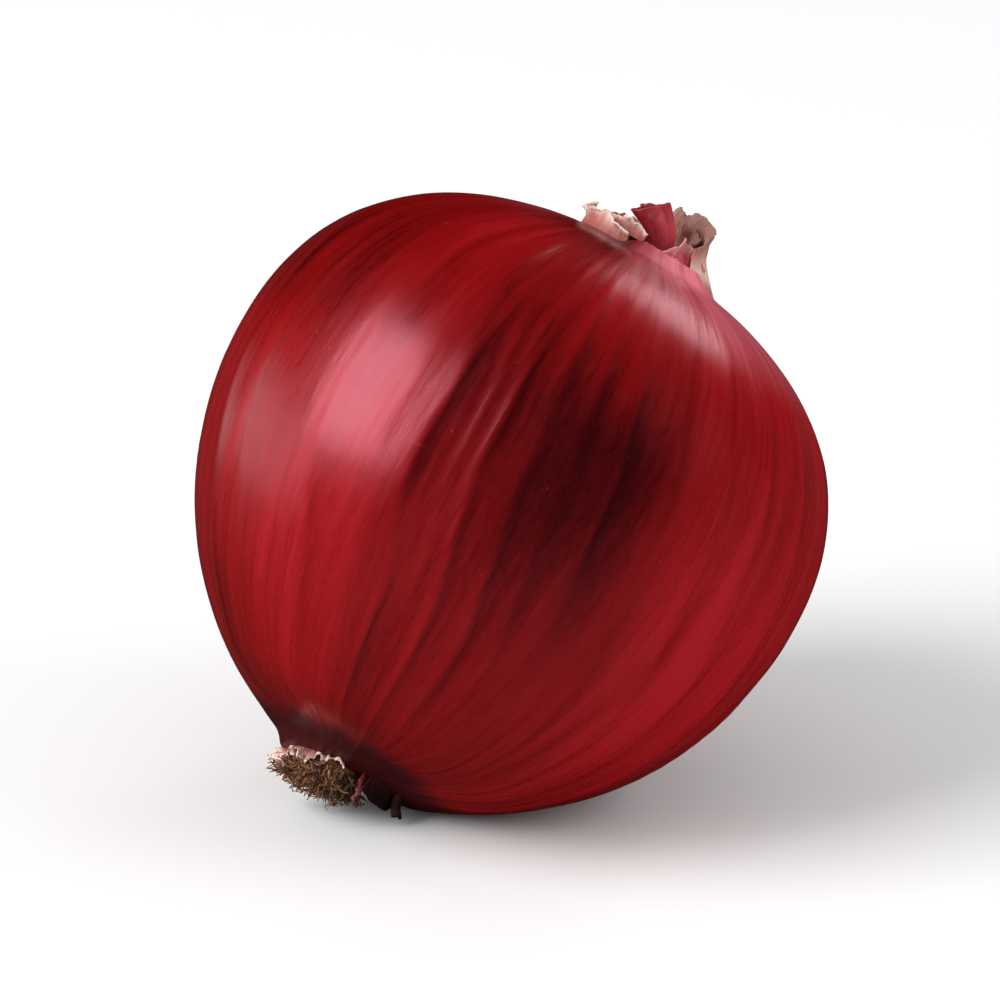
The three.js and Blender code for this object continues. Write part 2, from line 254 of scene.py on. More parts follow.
def restPoint():
    # where the profile of the lower half is square to straight down
    fullness = onion["baseFullness"]
    across = math.hypot(down.x, down.y)
    outShare = (onion["widest"] * across) ** (1 / (fullness - 1))
    downShare = (onion["base"] * -down.z) ** (1 / (fullness - 1))
    scale = (outShare ** fullness + downShare ** fullness) ** (-1 / fullness)
    radius = onion["widest"] * outShare * scale
    return Vector((radius * down.x / across, radius * down.y / across, -onion["base"] * downShare * scale))


rest = restPoint()
lie = Matrix.Translation(-(turn @ rest) - Vector((0, 0, onion["press"]))) @ turn
print("onion lies at", [round(value / mm, 2) for value in lie.translation])


# Shared effects for the materials

def makeStreaks():
    # streaks along the grain of skin and leaves: broad bands, fine lines and the height of the fine ribs
    tree, given, made = newTree("plantStreaks", "ShaderNodeTree", {
        "Grain": ("Vector", None), "Bands": ("Float", 2.5), "Lines": ("Float", 18.0),
        "Stretch": ("Float", 0.08),
    }, {"Bands": "Float", "Lines": "Float", "Height": "Float"})

    def streak(count, stretch, detail, roughness):
        scale = combine(tree, count, count, count * stretch)
        return noise(tree, vectorMath(tree, "MULTIPLY", given["Grain"].socket, scale), 1.0, detail, roughness)

    bands = streak(given["Bands"], given["Stretch"] * 3, 3.0, 0.55)
    lines = streak(given["Lines"], given["Stretch"], 4.0, 0.6)
    ribs = streak(given["Lines"] * 2.6, given["Stretch"] * 0.4, 2.0, 0.5)
    plug(tree, bands.ramp(0.3, 0.7), made.inputs["Bands"])
    plug(tree, lines.ramp(0.28, 0.72), made.inputs["Lines"])
    plug(tree, ribs * 0.6 + lines * 0.4, made.inputs["Height"])
    return tree


def makeFlecks():
    # small scuffs and specks, as a mask
    tree, given, made = newTree("scuffFlecks", "ShaderNodeTree", {
        "Place": ("Vector", None), "Scale": ("Float", 900.0), "Amount": ("Float", 0.1),
    }, {"Mask": "Float"})
    fine = noise(tree, given["Place"].socket, given["Scale"], 3.0, 0.6)
    patch = noise(tree, given["Place"].socket, given["Scale"] * 0.12, 2.0, 0.5)
    edge = given["Amount"].flip() * 0.75
    plug(tree, fine.ramp(edge, edge + 0.06) * patch.ramp(0.45, 0.7), made.inputs["Mask"])
    return tree


streaksGroup = makeStreaks()
flecksGroup = makeFlecks()


def newMaterial(name):
    material = bpy.data.materials.new(name)
    material.use_nodes = True
    tree = material.node_tree
    return material, tree, tree.nodes["Principled BSDF"]


def useGroup(tree, group, inputs):
    node = addNode(tree, "ShaderNodeGroup", node_tree=group)
    for title, value in inputs.items():
        plug(tree, value, node.inputs[title])
    return {socket.name: Flow(tree, socket) for socket in node.outputs}


def mixColour(tree, share, low, high):
    node = addNode(tree, "ShaderNodeMix", data_type="RGBA")
    for slot, value in ((0, share), (6, low), (7, high)):
        plug(tree, (*value, 1) if isinstance(value, tuple) else value, node.inputs[slot])
    return node.outputs[2]


def addBump(tree, shader, height, strength, distance):
    bump = addNode(tree, "ShaderNodeBump", {"Strength": strength, "Distance": distance, "Height": height})
    plug(tree, bump.outputs[0], shader.inputs["Normal"])


def grainOf(tree):
    return addNode(tree, "ShaderNodeAttribute", attribute_name="grain").outputs["Vector"]


def shareOf(tree, name):
    return Flow(tree, addNode(tree, "ShaderNodeAttribute", attribute_name=name).outputs["Fac"])


def placeOf(tree):
    return addNode(tree, "ShaderNodeTexCoord").outputs["Object"]


def streaksOn(tree, finish):
    return useGroup(tree, streaksGroup, {
        "Grain": grainOf(tree), "Bands": finish["bands"], "Lines": finish["lines"],
        "Stretch": finish["stretch"]})


def flecksOn(tree, finish):
    return useGroup(tree, flecksGroup, {
        "Place": placeOf(tree), "Scale": finish["fleckScale"], "Amount": finish["fleckAmount"]})["Mask"]


# Bulb: the skin as one sheet turned about the axis, with its ridges, veins and pleats

# Angles are degrees round the axis, 270 in front. Heights are in widest radii, 0 at the widest ring.
# A pair is where a change begins and ends. A side is its middle, and how far from it an effect is full and
# gone. A grain is the counts of a noise across the grain and along it.
skin = {
    "maroon": (0.030, 0.0003, 0.0004), "crimson": (0.20, 0.0008, 0.0010), "bright": (0.37, 0.0034, 0.007),
    "pale": (0.37, 0.050, 0.066), "blushAndSheen": (0.86, 0.18, 0.25), "paintedHighlight": (0.50, 0.21, 0.21),
    "dryShadeBrown": (0.034, 0.0009, 0.0006),
    "crimsonFrom": (0.0, 0.6), "brightFrom": (0.5, 1.05),    # in shares of redness
    "bands": 2.4, "lines": 17.0, "stretch": 0.07,
    "fleckScale": 1500.0, "fleckAmount": 0.12, "fleckShare": 0.3,
    "wobble": 9, "wobbleGrain": (7, 0.9),    # degrees over which all borders waver
    "veinGrain": (46, 1.3), "veinFrom": (0.54, 0.68), "mottleGrain": (60, 14),
    "fibreGrain": (15, 0.6), "fibreFrom": (0.36, 0.62), "frayGrain": (3, 1), "fray": 0.1,
    # painted shade: the dark band of the front is shadow painted into the colour; the first share of it
    # begins as a half shade
    "halfShadeFrom": (250, 255), "shadeBandFrom": (262, 276), "shadeBandTo": (286, 312), "halfShade": 0.36,
    "shadeBandLow": (-0.85, 0.1), "shadeBandHigh": (0.18, 0.64), "shadeBandDepth": 0.78,
    # brighter and darker places
    # painted sheen: a brighter band round the middle stands for the broad haze of the highlight
    "paintedSheenLow": (-0.95, -0.4), "paintedSheenHigh": (-0.05, 0.3),
    # painted light: the right side is made redder and brighter, as if lit from the right
    "rightSide": (328, 10, 36), "lowSide": (312, 16, 42), "lowTo": (-0.85, -0.5),
    "leftSide": (206, 8, 26), "leftLow": (0.02, 0.2), "leftHigh": (0.6, 0.8),
    "upperSide": (285, 50, 130), "upperFrom": (0.45, 0.7),
    # painted shade below the cream leaf
    "shadeUnderLeafFrom": (214, 236), "shadeUnderLeafTo": (262, 274), "shadeUnderLeafHeight": (0.70, 0.80),    # below the cream leaf
    # paler towards the neck; dry towards the roots, where painted shade darkens it as well
    # the pink on the right of the shoulder is partly the skin's own blush, partly a painted sheen
    "neckPale": (0.70, 0.84), "blushAndSheenSide": (324, 5, 52), "blushAndSheenFrom": (0.60, 0.85),
    # painted highlight: a greyish pink patch in front of the neck stands for a gleam
    "paintedHighlightSide": (282, 3, 17), "paintedHighlightLow": (0.69, 0.755), "paintedHighlightHigh": (0.765, 0.81), "paintedHighlightShare": 0.5,
    "rootDryShade": (-1.045, -0.975), "dryShadeShare": 0.9, "shoulderFrom": (0.70, 0.76), "collarFrom": (0.79, 0.82),
    "endsLow": (-0.95, -0.75), "endsHigh": (0.7, 0.84),
    "gleam": 0.8, "gleamTint": (1.0, 0.37, 0.48, 1),    # the red skin shows through its own gloss
    "ribBump": 0.7, "mottleBump": 0.5, "fleckBump": 0.3, "bumpStrength": 0.3, "bumpHeight": 0.12 * mm,
}
# what each of these adds to the redness of the skin, or takes from it; some are painted light and shade, as
# noted where they are made
redness = {
    "plain": 0.29, "bands": 0.26, "lines": 0.20, "paintedSheen": 0.14, "right": 0.26, "upper": 0.22, "mottle": 0.2,
    "hollow": -0.27, "shadeUnderLeaf": -0.30, "low": -0.10, "left": -0.13, "veins": -0.12,
}
# and to its roughness
dullness = {"plain": 0.21, "lines": 0.05, "mottle": 0.10, "driedAndShaded": 0.18, "shoulder": -0.04, "collar": 0.2}


def makeSkinMaterial():
    material, tree, shader = newMaterial("onionSkin")
    grain = grainOf(tree)
    x, y, height = separate(tree, grain)
    streaks = streaksOn(tree, skin)
    flecks = flecksOn(tree, skin)
    wobble = grainNoise(tree, grain, skin["wobbleGrain"]) - 0.5
    angle = (y.math("ARCTAN2", x) * (180 / math.pi)).math("WRAP", 360, 0) + wobble * skin["wobble"]
    angle = angle - height.ramp(*bulb["twistBelow"]).flip() * bulb["twist"]
    angle = angle + height.ramp(*bulb["twistAbove"]) * bulb["upperTwist"]

    def zone(low, high):
        # 1 between two heights, 0 beyond
        return height.ramp(*skin[low]) * height.ramp(*skin[high]).flip()

    def facing(side):
        # 1 in the middle of a side of the onion, 0 away from it
        middle, full, gone = skin[side]
        away = ((angle - middle) * (math.pi / 180)).math("COSINE")
        return away.ramp(math.cos(math.radians(gone)), math.cos(math.radians(full)))

    # how red each place is: 0 nearly black, 1 bright
    # painted shade: dark is the shadowed band of the front
    dark = angle.ramp(*skin["halfShadeFrom"]) * skin["halfShade"] + angle.ramp(*skin["shadeBandFrom"]) * (1 - skin["halfShade"])
    dark = dark * angle.ramp(*skin["shadeBandTo"]).flip() * zone("shadeBandLow", "shadeBandHigh")
    upper = height.ramp(*skin["upperFrom"]) * facing("upperSide").span(0.3, 1)
    # painted shade: darker below the cream leaf
    shadeUnderLeaf = angle.ramp(*skin["shadeUnderLeafFrom"]) * angle.ramp(*skin["shadeUnderLeafTo"]).flip()
    shadeUnderLeaf = shadeUnderLeaf * height.ramp(*skin["shadeUnderLeafHeight"])
    ends = zone("endsLow", "endsHigh")
    mottle = (grainNoise(tree, grain, skin["mottleGrain"], 3.0, 0.65) - 0.5) * ends
    level = streaks["Bands"] * redness["bands"] + streaks["Lines"] * redness["lines"]
    # painted sheen: brighter band round the middle
    level = level + zone("paintedSheenLow", "paintedSheenHigh") * redness["paintedSheen"] + redness["plain"]
    level = level * (dark * skin["shadeBandDepth"]).flip()
    # right paints light on the right side of the skin
    places = {
        # painted shade: hollow darkens the steep side of each fold
        "hollow": shareOf(tree, "hollow") * upper.flip(), "right": facing("rightSide"),
        "shadeUnderLeaf": shadeUnderLeaf, "upper": upper, "low": height.ramp(*skin["lowTo"]).flip() * facing("lowSide"),
        "left": facing("leftSide") * zone("leftLow", "leftHigh"),
        "veins": grainNoise(tree, grain, skin["veinGrain"]).ramp(*skin["veinFrom"]) * dark.flip(),
        "mottle": mottle,
    }
    for name, mask in places.items():
        level = level + mask * redness[name]

    colour = mixColour(tree, level.ramp(*skin["crimsonFrom"]), skin["maroon"], skin["crimson"])
    colour = mixColour(tree, level.ramp(*skin["brightFrom"]), colour, skin["bright"])
    neck = height.ramp(*skin["neckPale"]) * shadeUnderLeaf.flip()
    colour = mixColour(tree, neck * streaks["Lines"].span(0.45, 0.75), colour, skin["pale"])
    fibres = grainNoise(tree, grain, skin["fibreGrain"]).ramp(*skin["fibreFrom"])
    # pink blush of the shoulder, partly the skin's own colour and partly a painted sheen
    blushAndSheen = height.ramp(*skin["blushAndSheenFrom"]) * facing("blushAndSheenSide") * fibres.span(0.5, 1)
    colour = mixColour(tree, blushAndSheen, colour, skin["blushAndSheen"])
    # painted highlight: greyish pink patch in front of the neck
    paintedHighlight = facing("paintedHighlightSide") * zone("paintedHighlightLow", "paintedHighlightHigh") * fibres
    colour = mixColour(tree, paintedHighlight * skin["paintedHighlightShare"], colour, skin["paintedHighlight"])
    # dry skin at the root end, darkened further as painted shade
    frayed = height + (grainNoise(tree, grain, skin["frayGrain"]) - 0.5) * skin["fray"]
    driedAndShaded = frayed.ramp(*skin["rootDryShade"]).flip()
    colour = mixColour(tree, driedAndShaded * skin["dryShadeShare"], colour, skin["dryShadeBrown"])
    colour = mixColour(tree, flecks * skin["fleckShare"], colour, skin["pale"])
    plug(tree, colour, shader.inputs["Base Color"])

    gloss = streaks["Lines"] * dullness["lines"] + (mottle + 0.5) * dullness["mottle"] + dullness["plain"]
    gloss = gloss + driedAndShaded * dullness["driedAndShaded"] + height.ramp(*skin["shoulderFrom"]) * dullness["shoulder"]
    gloss = gloss + height.ramp(*skin["collarFrom"]) * dullness["collar"]
    plug(tree, gloss, shader.inputs["Roughness"])
    shader.inputs["Specular IOR Level"].default_value = skin["gleam"]
    shader.inputs["Specular Tint"].default_value = skin["gleamTint"]
    ribs = (streaks["Height"] - 0.5) * ends.span(0.1, 1)    # they crowd and flatten at both ends
    bumps = ribs * skin["ribBump"] + mottle * skin["mottleBump"] + flecks * skin["fleckBump"]
    addBump(tree, shader, bumps, skin["bumpStrength"], skin["bumpHeight"])
    return material


bulb = {
    "around": 481, "along": 200, "crowding": 0.055,    # rings stand closer at both ends
    "collarFoot": 10.6 * mm, "collar": 6.2 * mm, "collarHeight": 2.2 * mm, "collarDish": 1.2 * mm,
    "collarWall": 1.2, "collarBowl": 1.3,    # inside of the collar, in rims and in depths of its dish
    "rim": 0.5 * mm, "rimTear": 0.9 * mm, "rimFrom": (0.855, 0.885), "rimGrain": (5, 0),
    "dish": 4.8 * mm, "dishDepth": 1.4 * mm, "dishFloor": 0.95,    # the floor as a share of the dish
    # the root end stands aside and tilted: rise for each mm to the right and back, and radii where that fades
    "aside": -2.3 * mm, "tilt": (0.1, -0.3), "asideFade": (5.5 * mm, 11 * mm), "tiltFade": (6 * mm, 20 * mm),
    "tiltSkew": 6 * mm,    # the tilt reaches further out in front than behind
    "inset": 0.32 * mm,    # leaves room for the relief
    "restCalm": (8 * mm, 17 * mm), "restSoft": 0.5 * mm,    # the relief keeps away from the flat spot
    # front of the neck: the skin sweeps up to a torn edge, and the collar behind it dips; degrees and mm
    "sweep": ((244, 268), (316, 340)), "sweepFrom": 14.5 * mm, "sweepEdge": 9.5 * mm, "sweepLip": 1.2 * mm,
    "sweepRise": 1.7 * mm, "sweepPower": 2.6,
    "dip": ((218, 240), (300, 326)), "dipDepth": 1.2 * mm, "dipRim": (7.4 * mm, 9.2 * mm),
    "dipMiddle": (1 * mm, 4 * mm),
    "lobes": ((2, 0.35, 40), (3, 0.3, 95), (5, 0.22, 10)),    # count, height in mm, turn in degrees
    # folds of the front: degrees, height in mm, degrees of the gentle and of the steep side
    "folds": ((215, 0.12, 12, 5), (234, 0.14, 10, 4), (252, 0.60, 18, 5), (255.5, 0.18, 3, 2),
              (259, 0.2, 4, 2.5), (263, 0.42, 5, 4), (266.5, 0.14, 3, 2), (271, 0.34, 6, 4),
              (278, 0.22, 7, 4), (286, 0.26, 8, 4), (296, 0.24, 8, 4), (309, 0.32, 11, 5),
              (321, 0.26, 10, 5)),
    # degrees by which the folds turn on their way to the roots and to the neck, and where
    "twist": 7, "upperTwist": 4, "twistBelow": (-0.75, 0.05), "twistAbove": (0.1, 0.6),
    "otherFolds": 16, "foldHeights": (0.12, 0.4), "foldGentle": (8, 15), "foldSteep": (3.5, 6), "foldSeed": 5,
    "foldGap": 13, "foldShift": 0.3, "foldSway": 0.12, "swayGrain": (1.6, 1.3),
    "strengthGrain": (5, 1.4), "strengthFrom": (0.25, 0.6), "weakest": 0.25,    # along the length of a fold
    # painted shade: the steep side of each fold is darkened in the colour
    "foldShadeEdge": (-0.008, 0.014), "foldShadeFull": 0.45,    # radians, and the height in mm that shades fully
    "reliefLow": (-1.09, -0.6), "reliefHigh": (0.50, 0.76),
    "veinHeight": 0.07 * mm, "veinGrain": (24, 0.9), "dentHeight": 0.3 * mm, "dentScale": 70.0,
    "smoothFrom": (0.72, 0.86), "smoothest": 0.15,    # veins and dents fade towards the neck
    "pleatHeight": 0.20 * mm, "pleatGrain": (4.5, 1.5), "pleatTop": (0.76, 0.87), "pleatRoot": (-1.07, -0.95),
    "rootPleats": 0.6,
}


def superellipse(end, above, steps=90):
    # half of the profile, from the widest ring to the given radius
    reach, fullness = onion["shoulder"], onion["shoulderFullness"]
    if not above:
        reach, fullness = -onion["base"], onion["baseFullness"]
    last = math.acos((end / onion["widest"]) ** (fullness / 2))
    points = []
    for i in range(steps + 1):
        radius = onion["widest"] * math.cos(last * i / steps) ** (2 / fullness)
        points.append((radius, reach * (1 - (radius / onion["widest"]) ** fullness) ** (1 / fullness)))
    return points


def collarHeight(radius):
    # a hollow curve that leaves the shoulder level and ends upright
    steepness = (bulb["collarFoot"] - radius) / (bulb["collarFoot"] - bulb["collar"])
    foot = superellipse(bulb["collarFoot"], True, 1)[-1][1]
    drop = foot - onion["shoulder"] - bulb["collarHeight"]
    return onion["shoulder"] + bulb["collarHeight"] + drop * math.sqrt(max(0, 1 - steepness ** 2))


def makeProfile():
    # from the middle of the root dish round to the middle of the neck
    lower = superellipse(bulb["dish"], False)[::-1]
    upper = superellipse(bulb["collarFoot"], True)[1:]
    floor = lower[0][1] + bulb["dishDepth"]
    top = onion["shoulder"] + bulb["collarHeight"]
    collarSteps, lipSteps = 24, 8
    collar = []
    for i in range(1, collarSteps + 1):
        share = math.sin(i / collarSteps * math.pi / 2)
        radius = bulb["collarFoot"] + (bulb["collar"] - bulb["collarFoot"]) * share
        collar.append((radius, collarHeight(radius)))
    lip = []
    for i in range(1, lipSteps + 1):
        bend = math.pi * i / lipSteps
        radius = bulb["collar"] - bulb["rim"] * (1 - math.cos(bend)) / 2
        lip.append((radius, top + bulb["rim"] / 2 * math.sin(bend)))
    inside = [(bulb["collar"] - bulb["collarWall"] * bulb["rim"], top - bulb["collarDish"]),
              (0, top - bulb["collarBowl"] * bulb["collarDish"])]
    points = [(0, floor), (bulb["dish"] * bulb["dishFloor"], floor), *lower, *upper, *collar, *lip, *inside]
    curve = bpy.data.curves.new("bulbProfile", "CURVE")
    curve.dimensions = "3D"
    spline = curve.splines.new("POLY")
    spline.points.add(len(points) - 1)
    for point, (radius, height) in zip(spline.points, points):
        point.co = (radius, 0, height, 1)
    holder = bpy.data.objects.new("bulbProfile", curve)
    bpy.context.scene.collection.objects.link(holder)
    return holder


def foldList():
    # the folds that show in front, and others spread over the rest of the way round
    draw = random.Random(bulb["foldSeed"])
    first, last = bulb["folds"][-1][0] + bulb["foldGap"], bulb["folds"][0][0] + 360 - bulb["foldGap"]
    spacing = (last - first) / (bulb["otherFolds"] - 1)
    folds = list(bulb["folds"])
    for i in range(bulb["otherFolds"]):
        turned = first + spacing * (i + draw.uniform(-bulb["foldShift"], bulb["foldShift"]))
        folds.append((turned, draw.uniform(*bulb["foldHeights"]), draw.uniform(*bulb["foldGentle"]),
                      draw.uniform(*bulb["foldSteep"])))
    return folds


def skinRelief(tree, given, grain, position):
    # height of the skin over the plain turned shape, and the painted shade on the steep side of each fold
    x, y, height = separate(tree, grain)
    angle = y.math("ARCTAN2", x)
    sway = grainNoise(tree, grain, bulb["swayGrain"], 2.0, 0.5) - 0.5
    swayed = angle + sway * bulb["foldSway"]
    swayed = swayed - height.ramp(*bulb["twistBelow"]).flip() * math.radians(bulb["twist"])
    swayed = swayed + height.ramp(*bulb["twistAbove"]) * math.radians(bulb["upperTwist"])
    fade = height.ramp(*bulb["reliefLow"]) * height.ramp(*bulb["reliefHigh"]).flip()
    clear = Flow(tree, vectorMath(tree, "DISTANCE", position, tuple(rest))).ramp(*bulb["restCalm"])
    lobes = None
    for count, rise, turned in bulb["lobes"]:
        wave = ((angle - math.radians(turned)) * count).math("COSINE") * (rise * mm)
        lobes = wave if lobes is None else lobes + wave
    folds = foldShade = None
    for turned, rise, gentleWidth, steepWidth in foldList():
        away = (swayed - math.radians(turned)).math("WRAP", math.pi, -math.pi)
        gentle = away * (-1 / math.radians(gentleWidth))
        steep = away * (1 / math.radians(steepWidth))
        share = gentle.math("MAXIMUM", steep).flip().math("MAXIMUM", 0)
        crest = share * share * (rise * mm)
        # painted shade on the steep side of the fold
        hollow = share * away.ramp(*bulb["foldShadeEdge"]) * min(1, rise / bulb["foldShadeFull"])
        folds = crest if folds is None else folds + crest
        foldShade = hollow if foldShade is None else foldShade + hollow
    strength = grainNoise(tree, grain, bulb["strengthGrain"], 1.0, 0.5)
    strength = strength.ramp(*bulb["strengthFrom"]).span(bulb["weakest"], 1)
    veins = (grainNoise(tree, grain, bulb["veinGrain"]) - 0.5) * given["Vein height"]
    dents = (noise(tree, position, bulb["dentScale"], 2.0) - 0.5) * given["Dent height"]
    pleats = (grainNoise(tree, grain, bulb["pleatGrain"], 2.0) - 0.5) * given["Pleat height"]
    gathered = height.ramp(*bulb["pleatTop"]) + height.ramp(*bulb["pleatRoot"]).flip() * bulb["rootPleats"]
    rough = height.ramp(*bulb["smoothFrom"]).flip().span(bulb["smoothest"], 1)
    relief = (lobes + folds * strength) * fade + veins * rough * 2 + dents * rough - given["Inset"]
    relief = relief * clear + pleats * gathered * 2
    return relief, foldShade * strength * fade


def neckFront(given, angle, radius, height):
    # rise and dip of the neck's front over the plain profile
    def front(rise, fall):
        return angle.ramp(*rise) * angle.ramp(*fall).flip() * height.math("GREATER_THAN", 0)

    near = (radius - bulb["sweepFrom"]) / (bulb["sweepEdge"] - bulb["sweepFrom"])
    near = near.math("MAXIMUM", 0).math("MINIMUM", 1) ** bulb["sweepPower"]
    sweep = near * radius.ramp(bulb["sweepEdge"] - bulb["sweepLip"], bulb["sweepEdge"])
    dip = radius.ramp(*bulb["dipRim"]).flip() * radius.ramp(*bulb["dipMiddle"])
    rise = sweep * front(*bulb["sweep"]) * given["Sweep rise"]
    return rise - dip * front(*bulb["dip"]) * given["Dip depth"]


def makeSkinTree():
    tree, given, made = newTree("bulbSkin", "GeometryNodeTree", {
        "Profile": ("Object", None), "Around": ("Int", 481), "Along": ("Int", 200),
        **floats("Vein height", "Dent height", "Pleat height", "Rim tear", "Aside", "Inset", "Sweep rise",
                 "Dip depth", "Rest height"),
        "Up": ("Vector", None), "Material": ("Material", None),
    }, {"Mesh": "Geometry"})
    mesh, u, v = gridNode(tree, given["Around"], given["Along"])
    profile = addNode(tree, "GeometryNodeObjectInfo", {"Object": given["Profile"]}).outputs["Geometry"]
    crowded = v - (v * math.tau).math("SINE") * bulb["crowding"]
    sample = addNode(tree, "GeometryNodeSampleCurve", {"Curves": profile, "Factor": crowded},
                     mode="FACTOR", use_all_curves=True)
    radius, _, height = separate(tree, sample.outputs["Position"])
    height = height + neckFront(given, u * 360, radius, height)
    cosine = (u * math.tau).math("COSINE")
    sine = (u * math.tau).math("SINE")
    mesh = storeAttribute(tree, mesh, "grain", combine(tree, cosine, sine, height / onion["widest"]))
    below = height.math("LESS_THAN", 0)
    close = radius.ramp(*bulb["asideFade"]).flip() * below
    near = radius.ramp(bulb["tiltFade"][0], sine * -bulb["tiltSkew"] + bulb["tiltFade"][1]).flip() * below
    x, y = radius * cosine, radius * sine
    tilted = height + close * x * bulb["tilt"][0] + near * y * bulb["tilt"][1]
    mesh = setPosition(tree, mesh, position=combine(tree, x + close * given["Aside"], y, tilted))
    mesh = closeSeams(tree, mesh)
    grain = readAttribute(tree, "grain")
    normal = tree.nodes.new("GeometryNodeInputNormal").outputs[0]
    relief, foldShade = skinRelief(tree, given, grain, placeNow(tree))
    # painted shade of the folds, kept for the colour
    mesh = storeAttribute(tree, mesh, "hollow", foldShade, "FLOAT")    # for the colour
    mesh = setPosition(tree, mesh, offset=scaled(tree, normal, relief))
    torn = (grainNoise(tree, grain, bulb["rimGrain"], 4.0, 0.65) - 0.5) * given["Rim tear"] * 2
    _, _, level = separate(tree, grain)
    mesh = setPosition(tree, mesh, offset=combine(tree, 0.0, 0.0, torn * level.ramp(*bulb["rimFrom"])))
    mesh = keepAboveFloor(tree, mesh, given, 0.0, bulb["restSoft"])
    finishTree(tree, mesh, given["Material"], made)
    return tree


def makeBulb():
    profile = makeProfile()
    bpy.context.view_layer.update()
    piece = growPiece("onion_skin", makeSkinTree(), {
        "Profile": profile, "Around": bulb["around"], "Along": bulb["along"],
        "Vein height": bulb["veinHeight"], "Dent height": bulb["dentHeight"],
        "Pleat height": bulb["pleatHeight"], "Rim tear": bulb["rimTear"],
        "Aside": bulb["aside"], "Inset": bulb["inset"],
        "Sweep rise": bulb["sweepRise"], "Dip depth": bulb["dipDepth"],
        "Up": tuple(-down), "Rest height": lie.translation.z, "Material": makeSkinMaterial()})
    bpy.data.objects.remove(profile)
    carry(piece, "skin", "bulb")


# Neck: dry papery leaves, each a torn sheet that stands round the axis

# colours of the light and dark streaks, the torn edge, the foot and the specks; the foot's colour reaches up
# to footTo, a share of the height
paperSpecs = {
    "cream_leaf": {"name": "creamPaper", "pale": (0.78, 0.47, 0.37), "deep": (0.46, 0.16, 0.13),
                   "edge": (0.86, 0.70, 0.65), "foot": (0.34, 0.07, 0.06), "spots": (0.28, 0.07, 0.06),
                   "footTo": 1.0},
    "tan_leaf": {"name": "tanPaper", "pale": (0.53, 0.235, 0.165), "deep": (0.34, 0.12, 0.08),
                 "edge": (0.26, 0.15, 0.125), "foot": (0.80, 0.61, 0.52), "spots": (0.16, 0.06, 0.05),
                 "footTo": 0.8, "sunkFoot": (0.36, 0.045, 0.06)},
    "red_leaf": {"name": "redPaper", "pale": (0.42, 0.022, 0.040), "deep": (0.20, 0.004, 0.010),
                 "edge": (0.24, 0.010, 0.018), "foot": (0.28, 0.010, 0.020), "spots": (0.60, 0.28, 0.26),
                 "gloss": 0.38, "rightSide": (0.62, 0.07, 0.10)},
    "pink_leaf": {"name": "pinkPaper", "pale": (0.62, 0.10, 0.16), "deep": (0.40, 0.04, 0.07),
                  "edge": (0.66, 0.34, 0.32), "foot": (0.50, 0.080, 0.12), "spots": (0.75, 0.5, 0.46),
                  "gloss": 0.40},
    "frayed": {"name": "frayedSkin", "pale": (0.85, 0.52, 0.45), "deep": (0.34, 0.09, 0.07),
               "edge": (0.95, 0.74, 0.66), "foot": (0.12, 0.007, 0.006), "spots": (0.6, 0.45, 0.38),
               "gloss": 0.5},
    "chip": {"name": "redChip", "pale": (0.56, 0.10, 0.11), "deep": (0.26, 0.012, 0.018),
             "edge": (0.50, 0.11, 0.12), "foot": (0.10, 0.002, 0.004), "spots": (0.6, 0.3, 0.28),
             "gloss": 0.35},
    # dark dried skin, also used as painted shade below the tuft
    "driedAndShaded": {"name": "driedSkin", "pale": (0.034, 0.002, 0.002), "deep": (0.010, 0.001, 0.001),
              "edge": (0.016, 0.003, 0.002), "foot": (0.040, 0.001, 0.001), "spots": (0.03, 0.012, 0.008),
              "gloss": 0.7},
}
# what all papers share; heights are shares of a leaf's own height
paperFinish = {
    "bands": 3.0, "lines": 9.0, "stretch": 0.12, "lineShare": 0.4, "lineDullness": 0.15,
    "fleckScale": 1100.0, "fleckAmount": 0.22, "fleckShare": 0.7,
    "edgeFrom": (0.6, 1.0), "edgeShare": 0.7, "footFrom": 0.12, "sunkTo": (0.1, 0.36),
    "rightFrom": (-0.35, 0.5), "rightShare": 0.8,    # cosines of the angle to the right
    "gleam": 0.35, "glow": 0.12, "glowReach": (1.0 * mm, 0.5 * mm, 0.4 * mm),    # light goes into thin paper
    "bumpStrength": 0.6, "bumpHeight": 0.15 * mm,
}


def makePaperMaterial(name, pale, deep, edge, foot, spots, gloss=0.6, footTo=0.62, rightSide=None,
                      sunkFoot=None):
    material, tree, shader = newMaterial(name)
    finish = paperFinish
    streaks = streaksOn(tree, finish)
    flecks = flecksOn(tree, finish)
    up = shareOf(tree, "up")
    colour = mixColour(tree, streaks["Bands"], deep, pale)
    colour = mixColour(tree, streaks["Lines"].flip() * finish["lineShare"], colour, deep)
    if rightSide:
        right = shareOf(tree, "side").ramp(*finish["rightFrom"])
        colour = mixColour(tree, right * finish["rightShare"], colour, rightSide)
    colour = mixColour(tree, up.ramp(*finish["edgeFrom"]) * finish["edgeShare"], colour, edge)
    low = up.ramp(finish["footFrom"], footTo).flip()
    colour = mixColour(tree, low * streaks["Lines"].span(0.6, 1), colour, foot)
    if sunkFoot:    # where it grows out of the skin
        sunk = up.ramp(*finish["sunkTo"]).flip()
        colour = mixColour(tree, sunk * streaks["Lines"].span(0.45, 0.95), colour, sunkFoot)
    colour = mixColour(tree, flecks * finish["fleckShare"], colour, spots)
    plug(tree, colour, shader.inputs["Base Color"])
    plug(tree, streaks["Lines"] * finish["lineDullness"] + gloss, shader.inputs["Roughness"])
    shader.inputs["Specular IOR Level"].default_value = finish["gleam"]
    shader.inputs["Subsurface Weight"].default_value = finish["glow"]
    shader.inputs["Subsurface Radius"].default_value = finish["glowReach"]
    addBump(tree, shader, streaks["Height"], finish["bumpStrength"], finish["bumpHeight"])
    return material


